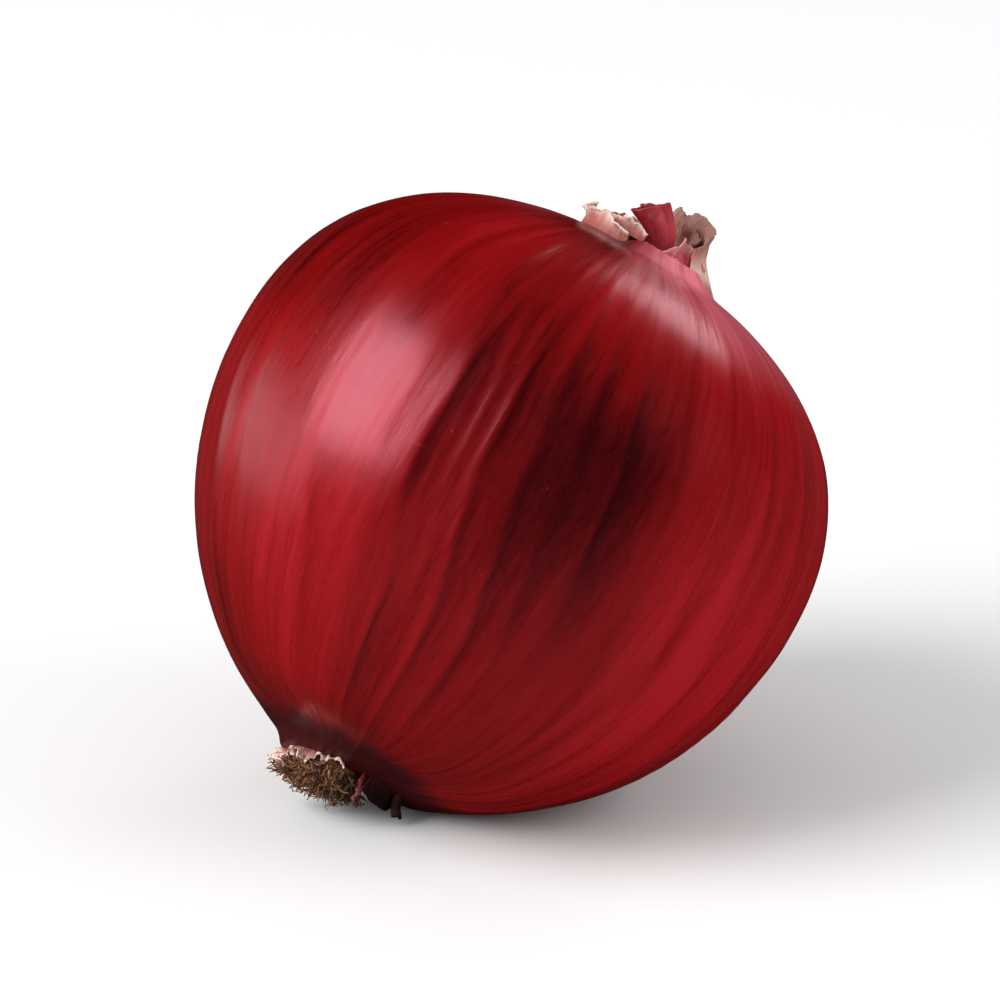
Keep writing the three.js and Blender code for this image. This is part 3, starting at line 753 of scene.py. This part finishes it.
# angles in degrees round the axis, as for the skin; heights and radii in mm
leafDefaults = {
    "footHeight": None, "foot": (0, 0), "bend": 0, "tilt": 0, "lean": 0, "flare": 0, "rags": 19,
    "inCollar": False, "atRoot": False, "extra": False,    # an extra leaf stands in for no solid
}
leafSpecs = {
    "neck_leaf_cream": {"paper": "cream_leaf", "from": 150, "to": 252, "radii": (8.9, 8.5),
                        "crest": (1.7, 2.3, 2.5, 1.8, 2.0, 1.7, 1.0), "lean": 0.1, "flare": 0.5, "waves": 2.5,
                        "wave": 0.5, "tear": 0.3, "curl": 0.9, "crumple": 1.5, "seed": 3.1},
    "neck_leaf_tan": {"paper": "tan_leaf", "from": -50, "to": 84, "radii": (10.8, 10.4),
                      "crest": (4.4, 6.0, 7.2, 8.2, 8.9, 8.7, 8.2), "lean": 0.67, "flare": 0.5, "waves": 3.4,
                      "wave": 0.35, "tear": 0.14, "curl": 0.8, "crumple": 1.4, "seed": 8.4},
    "neck_leaf_back": {"paper": "tan_leaf", "from": 74, "to": 147, "radii": (8.6, 8.6),
                       "crest": (6.2, 5.2, 3.8, 2.4), "lean": 0.3, "flare": 0.4, "waves": 2,
                       "wave": 0.4, "tear": 0.25, "curl": 0.6, "crumple": 1.2, "seed": 5.7},
    "neck_leaf_pink": {"paper": "pink_leaf", "from": 216, "to": 344, "radii": (4.6, 4.6),
                       "crest": (0.3, 0.4, 0.5, 0.6, 0.9, 1.4), "footHeight": 33.3, "lean": 0.05,
                       "flare": 0.5, "waves": 4, "wave": 0.4, "tear": 0.4, "curl": 0.4, "crumple": 0.8,
                       "seed": 2.2, "inCollar": True},
    "neck_leaf_red": {"paper": "red_leaf", "from": 160, "to": 650, "radii": (1.0, 2.2),
                      "crest": (4.9, 4.8, 4.6, 4.5, 4.3), "flare": 0.2, "waves": 4, "wave": 0.15,
                      "tear": 0.1, "curl": 0.1, "crumple": 0.7, "seed": 6.3,
                      "foot": (1.6, -0.6), "bend": -3.6, "tilt": 0.7, "inCollar": True},
    "neck_shred_cream": {"paper": "cream_leaf", "from": 196, "to": 262, "radii": (7.4, 6.6),
                         "crest": (0.6, 1.0, 1.3, 1.5, 1.2, 0.6), "lean": 0.3, "flare": 0.4, "waves": 2,
                         "wave": 0.5, "tear": 0.35, "curl": 0.6, "crumple": 1.4, "seed": 9.6, "extra": True},
    "neck_shred_pink": {"paper": "pink_leaf", "from": 278, "to": 342, "radii": (9.4, 9.9),
                        "crest": (0.3, 2.4, 3.6, 3.4, 2.8, 2.0, 0.8), "lean": 0.66, "flare": 0.2, "waves": 4,
                        "wave": 0.3, "tear": 0.3, "curl": 0.6, "crumple": 1.0, "seed": 12.4, "extra": True},
    "neck_shred_brown": {"paper": "tan_leaf", "from": 318, "to": 410, "radii": (5.2, 5.0),
                         "crest": (1.6, 3.2, 4.4, 5.0), "lean": 0.15, "flare": 0.3, "waves": 3,
                         "wave": 0.4, "tear": 0.3, "curl": 0.5, "crumple": 1.2, "seed": 4.9, "inCollar": True,
                         "extra": True},
    # torn skin left round the roots, and a near-black sheet that paints the shade below the tuft
    "root_skirt_frayed": {"paper": "frayed", "from": 130, "to": 288, "radii": (5.5, 5.2),
                          "crest": (-0.9, -1.6, -1.5, -1.0, -0.5, -0.9, -0.6, -0.2), "lean": -0.15,
                          "flare": 0.5, "waves": 13, "wave": 0.6, "tear": 1.9, "rags": 56, "curl": 0.7,
                          "crumple": 2.3, "seed": 1.3, "foot": (-2.3, 0), "atRoot": True, "extra": True},
    "root_chip_red": {"paper": "chip", "from": 318, "to": 334, "radii": (5.9, 5.9),
                      "crest": (-1.2, -2.3, -2.6, -1.6), "lean": -0.1, "flare": 0.3, "waves": 1, "wave": 0.3,
                      "tear": 0.4, "curl": 0.3, "crumple": 0.6, "seed": 7.7,
                      "foot": (-2.3, 0), "atRoot": True, "extra": True},
    # painted shade: a near-black sheet fills the shaded gap between the tuft and the bulb
    "root_skirt_dark": {"paper": "driedAndShaded", "from": 322, "to": 374, "radii": (6.3, 9.3),
                        "crest": (-1.6, -2.1, -2.3, -2.3, -2.1, -1.7, -0.8),
                        "waves": 3, "wave": 0.05, "tear": 0.1, "curl": 0.05, "crumple": 0.35, "seed": 2.9,
                        "foot": (-2.0, 0), "atRoot": True, "extra": True},
    "root_stub_dark": {"paper": "driedAndShaded", "from": 0, "to": 800, "radii": (0.12, 0.62), "footHeight": -41.6,
                       "crest": (-2.0, -2.2, -2.4, -2.1), "waves": 1, "wave": 0.05,
                       "tear": 0.2, "curl": 0.1, "crumple": 0.7, "seed": 3.7,
                       "foot": (7.2, -0.5), "bend": 1.2, "atRoot": True, "extra": True},
}
leafBuild = {
    "columns": 140, "rows": 30, "thickness": 0.24 * mm, "sunk": 0.5 * mm, "ribs": 0.15 * mm, "ribCount": 46,
    "tears": 5, "tearShare": 2.4, "ragShare": 0.8, "crumpleScale": 420.0,
    "curls": 4, "curlMiddle": 0.35, "curlPower": 4, "curlDrop": 0.5,
    "grainAcross": 3, "grainAlong": 120,    # for each leaf from end to end, and for each metre up
}


def makeLeafTree(name, crest):
    tree, given, made = newTree(name, "GeometryNodeTree", {
        "Columns": ("Int", 140), "Rows": ("Int", 30), "Foot": ("Vector", None), "Slope": ("Vector", None),
        **floats("From", "To", "Bend", "Start radius", "End radius", "Rise", "Sunk", "Lean", "Flare", "Curl",
                 "Waves", "Wave", "Tear", "Rags", "Crumple", "Ribs", "Tilt", "Seed"),
        "Material": ("Material", None),
    }, {"Mesh": "Geometry"})
    mesh, u, v = gridNode(tree, given["Columns"], given["Rows"])
    # the crest from end to end, in shares of the rise
    outline = addNode(tree, "ShaderNodeFloatCurve", {"Value": u})
    shape = outline.mapping.curves[0]
    for i, share in enumerate(crest):
        if 0 < i < len(crest) - 1:
            shape.points.new(i / (len(crest) - 1), share)
        else:
            shape.points[0 if i == 0 else -1].location = (i / (len(crest) - 1), share)
    outline.mapping.update()

    def along(count, layer, detail, roughness=0.5):
        # noise from end to end of the leaf
        return noise(tree, combine(tree, u * count, given["Seed"], layer), 1.0, detail, roughness)

    torn = (along(leafBuild["tears"], 0.0, 1.0) - 0.5) * given["Tear"] * leafBuild["tearShare"]
    ragged = (along(given["Rags"], 3.0, 4.0, 0.7) - 0.5) * given["Tear"] * leafBuild["ragShare"]
    rise = (Flow(tree, outline.outputs[0]) * given["Rise"] + given["Sunk"]) * (torn + ragged + 1)
    angle = mixFlow(tree, u, given["From"], given["To"]) * (math.pi / 180)
    swing = (u * given["Waves"] * math.tau).math("SINE") * given["Wave"] * v * v
    curl = (along(leafBuild["curls"], 7.0, 1.0) - leafBuild["curlMiddle"]) * given["Curl"]
    curl = curl * v ** leafBuild["curlPower"] * 2
    ribs = (along(leafBuild["ribCount"], v, 2.0) - 0.5) * given["Ribs"]
    inward = given["Lean"] * rise * (v * (math.pi / 2)).math("SINE")
    radius = mixFlow(tree, u, given["Start radius"], given["End radius"]) - inward
    radius = radius + given["Flare"] * v * v + swing + curl + ribs
    across = radius * angle.math("COSINE")
    x = across + given["Bend"] * v * v
    y = radius * angle.math("SINE")
    height = (rise + across * given["Tilt"]) * v - curl.math("ABSOLUTE") * leafBuild["curlDrop"]
    height = height + Flow(tree, vectorMath(tree, "DOT_PRODUCT", combine(tree, x, y, 0.0), given["Slope"]))
    grain = combine(tree, u * leafBuild["grainAcross"], given["Seed"], rise * v * leafBuild["grainAlong"])
    mesh = storeAttribute(tree, mesh, "grain", grain)
    mesh = storeAttribute(tree, mesh, "up", v, "FLOAT")
    mesh = storeAttribute(tree, mesh, "side", angle.math("COSINE"), "FLOAT")
    place = vectorMath(tree, "ADD", combine(tree, x, y, height), given["Foot"])
    mesh = setPosition(tree, mesh, position=place)
    drift = addNode(tree, "ShaderNodeTexNoise", {
        "Vector": placeNow(tree), "Scale": leafBuild["crumpleScale"], "Detail": 3.0})
    push = vectorMath(tree, "SUBTRACT", drift.outputs["Color"], (0.5, 0.5, 0.5))
    amount = given["Crumple"] * Flow(tree, readAttribute(tree, "up", "FLOAT"))
    mesh = setPosition(tree, mesh, offset=scaled(tree, push, amount))
    finishTree(tree, mesh, given["Material"], made)
    return tree


def makeLeaves():
    papers = {slot: makePaperMaterial(**spec) for slot, spec in paperSpecs.items()}
    hollow = onion["shoulder"] + bulb["collarHeight"] - bulb["collarDish"]
    for name, spec in leafSpecs.items():
        leaf = {**leafDefaults, **spec}
        start, end = (radius * mm for radius in leaf["radii"])
        sunk = -leafBuild["sunk"] if leaf["atRoot"] else leafBuild["sunk"]
        if leaf["footHeight"] is not None:
            foot = leaf["footHeight"] * mm
        elif leaf["inCollar"]:
            foot = hollow
        elif leaf["atRoot"]:
            foot = superellipse(start, False, 1)[-1][1]
        else:
            foot = collarHeight(min(start, end))
        footX, footY = (value * mm for value in leaf["foot"])
        rise = max(leaf["crest"], key=abs)
        tree = makeLeafTree(name + "Tree", [value / rise for value in leaf["crest"]])
        piece = growPiece(name if leaf["extra"] else name + "_sheet", tree, {
            "Columns": leafBuild["columns"], "Rows": leafBuild["rows"],
            "From": float(leaf["from"]), "To": float(leaf["to"]),
            "Foot": (footX, footY, foot - sunk), "Bend": leaf["bend"] * mm,
            "Start radius": start, "End radius": end,
            "Rise": rise * mm, "Sunk": sunk, "Tilt": float(leaf["tilt"]),
            "Slope": (*bulb["tilt"], 0.0) if leaf["atRoot"] else (0.0, 0.0, 0.0),
            "Lean": float(leaf["lean"]), "Flare": leaf["flare"] * mm, "Curl": leaf["curl"] * mm,
            "Waves": float(leaf["waves"]), "Wave": leaf["wave"] * mm, "Tear": leaf["tear"],
            "Rags": float(leaf["rags"]), "Crumple": leaf["crumple"] * mm, "Ribs": leafBuild["ribs"],
            "Seed": leaf["seed"], "Material": papers[leaf["paper"]],
        }, leafBuild["thickness"])
        carry(piece, "skin" if leaf["atRoot"] else leaf["paper"], *([] if leaf["extra"] else [name]))


# Root tuft: a corky plate and the dry roots that grow out of it

roots = {
    "plate": 4.4 * mm, "plateDrop": 1.3 * mm, "plateGrid": (61, 31), "plateBumps": 1.2 * mm,
    "plateTone": 0.3, "plateAlong": 0.6,    # coloured as a root of this tone, this far along
    "count": 900, "joints": 11, "sides": 5, "reach": 4.3 * mm, "footDrop": 0.3,    # feet, in plate drops
    "short": 1.0 * mm, "long": 3.1 * mm, "thick": 0.15 * mm, "thin": 0.06 * mm,
    # degrees of lean at the rim, shares of that, and radians by which single roots turn aside
    "spread": 60, "spreads": (0.55, 1.1), "headings": (-0.7, 0.7), "curl": 2.2 * mm, "slant": 0.06,
    "shadeFrom": (0.1, 0.9), "shade": 0.55, "seed": 11, "floorGap": 0.3 * mm, "floorSoft": 0.6 * mm,
    "dark": (0.050, 0.020, 0.007), "brown": (0.30, 0.120, 0.048), "pale": (0.66, 0.38, 0.29),
    "specks": (0.012, 0.007, 0.004), "brownFrom": (0.1, 0.55), "paleFrom": (0.62, 0.95),
    "plainShare": 0.16, "toneShare": 0.7, "mottleShare": 0.5, "tipShare": 0.5, "mottleScale": 1600.0,
    "fleckScale": 2600.0, "fleckAmount": 0.2, "fleckShare": 0.5, "bumpScale": 900.0,
    "bumpStrength": 0.6, "bumpHeight": 0.12 * mm,
}


def makeRootMaterial():
    material, tree, shader = newMaterial("dryRoots")
    mottle = noise(tree, placeOf(tree), roots["mottleScale"], 3.0, 0.6)
    flecks = flecksOn(tree, roots)
    # pale at the foot, dark at the tip
    shade = shareOf(tree, "tone") * roots["toneShare"] + mottle * roots["mottleShare"] + roots["plainShare"]
    shade = shade - shareOf(tree, "along") * roots["tipShare"]
    colour = mixColour(tree, shade.ramp(*roots["brownFrom"]), roots["dark"], roots["brown"])
    colour = mixColour(tree, shade.ramp(*roots["paleFrom"]), colour, roots["pale"])
    colour = mixColour(tree, flecks * roots["fleckShare"], colour, roots["specks"])
    plug(tree, colour, shader.inputs["Base Color"])
    plug(tree, mottle.span(0.7, 0.9), shader.inputs["Roughness"])
    addBump(tree, shader, mottle, roots["bumpStrength"], roots["bumpHeight"])
    return material


def makeRootTree():
    tree, given, made = newTree("rootTuft", "GeometryNodeTree", {
        "Count": ("Int", 900), "Seed": ("Int", 0), "Up": ("Vector", None), "Material": ("Material", None),
        **floats("Plate", "Plate drop", "Plate height", "Aside", "Reach", "Short", "Long", "Thick", "Thin",
                 "Spread", "Curl", "Slant", "Rest height"),
    }, {"Mesh": "Geometry"})

    def draw(low, high, offset):
        # a number for each root, from its own stream
        node = addNode(tree, "FunctionNodeRandomValue", data_type="FLOAT")
        for name, value in (("Min", low), ("Max", high)):
            plug(tree, value, next(slot for slot in node.inputs if slot.name == name and slot.enabled))
        plug(tree, given["Seed"] + offset, node.inputs["Seed"])
        return Flow(tree, next(slot for slot in node.outputs if slot.enabled))

    # corky plate: a bumpy lens
    plate, u, v = gridNode(tree, *roots["plateGrid"])
    bow = v * math.pi
    out = bow.math("SINE") * given["Plate"]
    x = out * (u * math.tau).math("COSINE") + given["Aside"]
    y = out * (u * math.tau).math("SINE")
    z = given["Plate height"] - bow.math("COSINE") * given["Plate drop"]
    plate = closeSeams(tree, setPosition(tree, plate, position=combine(tree, x, y, z)))
    position = placeNow(tree)
    normal = tree.nodes.new("GeometryNodeInputNormal").outputs[0]
    bumps = (noise(tree, position, roots["bumpScale"], 3.0, 0.6) - 0.5) * roots["plateBumps"]
    plate = setPosition(tree, plate, offset=scaled(tree, normal, bumps))
    plate = storeAttribute(tree, plate, "tone", roots["plateTone"], "FLOAT")
    plate = storeAttribute(tree, plate, "along", roots["plateAlong"], "FLOAT")

    # roots: set out in the spiral that a plant fills a disc with
    index = Flow(tree, tree.nodes.new("GeometryNodeInputIndex").outputs[0])
    share = ((index + 0.5) / given["Count"]).math("SQRT")
    heading = index * (math.pi * (3 - math.sqrt(5)))
    reach = share * given["Reach"]
    spot = combine(tree, reach * heading.math("COSINE") + given["Aside"], reach * heading.math("SINE"),
                   given["Plate height"] - given["Plate drop"] * roots["footDrop"])
    points = addNode(tree, "GeometryNodePoints", {"Count": given["Count"], "Position": spot}).outputs[0]
    stalk = addNode(tree, "GeometryNodeCurvePrimitiveLine", {"Start": (0, 0, 0), "End": (0, 0, -1)})
    stalk = addNode(tree, "GeometryNodeResampleCurve", {"Curve": stalk.outputs[0], "Count": roots["joints"]})
    tilt = share * given["Spread"] * (math.pi / 180) * draw(*roots["spreads"], 1)
    lean = combine(tree, 0.0, tilt * -1, heading + draw(*roots["headings"], 2))
    turned = addNode(tree, "FunctionNodeEulerToRotation", {0: lean})
    slant = share * heading.math("COSINE") * given["Slant"]    # longer on one side of the tuft
    length = draw(given["Short"], given["Long"], 3) * slant.flip()
    grown = addNode(tree, "GeometryNodeInstanceOnPoints", {
        "Points": points, "Instance": stalk.outputs[0], "Rotation": turned.outputs[0],
        "Scale": combine(tree, length, length, length)}).outputs[0]
    # darker on the other side
    shaded = (share * heading.math("COSINE")).ramp(*roots["shadeFrom"]) * roots["shade"]
    grown = storeAttribute(tree, grown, "tone", draw(0.0, 1.0, 4) - shaded, "FLOAT", "INSTANCE")
    grown = storeAttribute(tree, grown, "own", draw(0.0, 40.0, 5), "FLOAT", "INSTANCE")
    grown = addNode(tree, "GeometryNodeRealizeInstances", {"Geometry": grown}).outputs[0]
    factor = Flow(tree, tree.nodes.new("GeometryNodeSplineParameter").outputs["Factor"])
    grown = storeAttribute(tree, grown, "along", factor, "FLOAT")
    own = Flow(tree, readAttribute(tree, "own", "FLOAT"))
    drift = addNode(tree, "ShaderNodeTexNoise", {
        "Vector": combine(tree, own, own * 1.7, factor * 2.8), "Scale": 1.0, "Detail": 1.0})
    bend = vectorMath(tree, "SUBTRACT", drift.outputs["Color"], (0.5, 0.5, 0.5))
    grown = setPosition(tree, grown, offset=scaled(tree, bend, factor * given["Curl"] * 2))
    knots = noise(tree, combine(tree, own, factor * 5, 0.0), 1.0, 1.0) + 0.5
    girth = mixFlow(tree, factor, given["Thick"], given["Thin"]) * knots
    grown = addNode(tree, "GeometryNodeSetCurveRadius", {"Curve": grown, "Radius": girth}).outputs[0]
    ring = addNode(tree, "GeometryNodeCurvePrimitiveCircle", {"Resolution": roots["sides"], "Radius": 1.0})
    meshed = addNode(tree, "GeometryNodeCurveToMesh", {
        "Curve": grown, "Profile Curve": ring.outputs[0], "Fill Caps": True,
        "Scale": addNode(tree, "GeometryNodeInputRadius").outputs[0]})
    joined = addNode(tree, "GeometryNodeJoinGeometry")
    for part in (meshed.outputs[0], plate):
        tree.links.new(part, joined.inputs[0])
    x, y, _ = separate(tree, position)
    tilted = (x - given["Aside"]) * bulb["tilt"][0] + y * bulb["tilt"][1]
    tuft = setPosition(tree, joined.outputs[0], offset=combine(tree, 0.0, 0.0, tilted))
    tuft = keepAboveFloor(tree, tuft, given, roots["floorGap"], roots["floorSoft"])
    finishTree(tree, tuft, given["Material"], made)
    return tree


def makeRoots():
    dishFloor = superellipse(bulb["dish"], False, 1)[-1][1] + bulb["dishDepth"]
    piece = growPiece("root_tuft_fibres", makeRootTree(), {
        "Count": roots["count"], "Plate": roots["plate"], "Plate drop": roots["plateDrop"],
        "Plate height": dishFloor - roots["plateDrop"], "Aside": bulb["aside"], "Reach": roots["reach"],
        "Short": roots["short"], "Long": roots["long"], "Thick": roots["thick"], "Thin": roots["thin"],
        "Spread": float(roots["spread"]), "Curl": roots["curl"], "Slant": roots["slant"],
        "Seed": roots["seed"], "Up": tuple(-down), "Rest height": lie.translation.z,
        "Material": makeRootMaterial()})
    carry(piece, "roots", "root_tuft")


# Studio: pale floor, soft lights and the camera

studio = {
    "elevation": 20, "lens": 180, "sensor": 36, "frameWidth": 125 * mm, "aim": Vector((2 * mm, 0, 39 * mm)),
    "nearest": 0.01, "floor": (0.86, 0.86, 0.86), "floorSize": 6, "floorClouds": 6.0, "floorLighter": 1.03,
    "floorRoughness": 0.9, "floorGleam": 0.1, "floorGloss": 0.02,    # it stays out of the skin's gloss
    "room": 0.52,
}
# each light: direction as the camera sees it (right, up, towards the camera), distance, width, height, power
lights = {
    "windowLeft": ((-0.72, 0.45, 0.50), 1.7, 1.05, 1.25, 30.0),
    "fillLeft": ((-0.95, 0.08, -0.18), 1.6, 1.3, 0.9, 7.0),
    "panelRight": ((0.55, 0.66, -0.50), 1.5, 0.42, 0.42, 2.0),
    "softRight": ((0.85, 0.36, 0.38), 1.6, 1.0, 1.0, 9.0),
}


def seenFromCamera(direction):
    lift = math.radians(studio["elevation"])
    upward = Vector((0, math.sin(lift), math.cos(lift)))
    toward = Vector((0, -math.cos(lift), math.sin(lift)))
    right, up, near = direction
    return (Vector((1, 0, 0)) * right + upward * up + toward * near).normalized()


def makeCamera():
    camera = bpy.data.objects.new("camera", bpy.data.cameras.new("camera"))
    camera.data.lens = studio["lens"]
    camera.data.sensor_width = studio["sensor"]
    toward = seenFromCamera((0, 0, 1))
    camera.location = studio["aim"] + toward * (studio["frameWidth"] * studio["lens"] / studio["sensor"])
    camera.rotation_euler = toward.to_track_quat("Z", "Y").to_euler()
    camera.data.clip_start = studio["nearest"]
    bpy.context.scene.collection.objects.link(camera)
    bpy.context.scene.camera = camera


def makeLights():
    for name, (direction, distance, width, height, power) in lights.items():
        lamp = bpy.data.lights.new(name, "AREA")
        lamp.shape = "RECTANGLE"
        lamp.size = width
        lamp.size_y = height
        lamp.energy = power
        holder = bpy.data.objects.new(name, lamp)
        toward = seenFromCamera(direction)
        holder.location = studio["aim"] + toward * distance
        holder.rotation_euler = toward.to_track_quat("Z", "Y").to_euler()
        holder.visible_glossy = not name.startswith("soft")    # a soft fill has no gleam of its own
        bpy.context.scene.collection.objects.link(holder)
    world = bpy.data.worlds.new("room")
    world.use_nodes = True
    bpy.context.scene.world = world
    background = world.node_tree.nodes["Background"]
    background.inputs["Strength"].default_value = studio["room"]
    background.inputs["Color"].default_value = (1, 1, 1, 1)
    world.cycles_visibility.glossy = False    # only the lights show in the skin's gloss


def makeFloor():
    half = studio["floorSize"] / 2
    mesh = bpy.data.meshes.new("floor")
    corners = [(-half, -half, 0), (half, -half, 0), (half, half, 0), (-half, half, 0)]
    mesh.from_pydata(corners, [], [(0, 1, 2, 3)])
    floor = bpy.data.objects.new("floor", mesh)
    bpy.context.scene.collection.objects.link(floor)
    material, tree, shader = newMaterial("paleFloor")
    clouds = noise(tree, placeOf(tree), studio["floorClouds"], 2.0)
    lighter = tuple(value * studio["floorLighter"] for value in studio["floor"])
    tone = mixColour(tree, clouds, studio["floor"], lighter)
    mirrored = Flow(tree, addNode(tree, "ShaderNodeLightPath").outputs["Is Glossy Ray"])
    dim = tuple(value * studio["floorGloss"] for value in studio["floor"])
    plug(tree, mixColour(tree, mirrored, tone, dim), shader.inputs["Base Color"])
    shader.inputs["Roughness"].default_value = studio["floorRoughness"]
    shader.inputs["Specular IOR Level"].default_value = studio["floorGleam"]
    mesh.materials.append(material)


makeCamera()
makeBulb()
makeLeaves()
makeRoots()
makeLights()
makeFloor()
bpy.context.scene.view_settings.view_transform = "Standard"
print("scene ready")
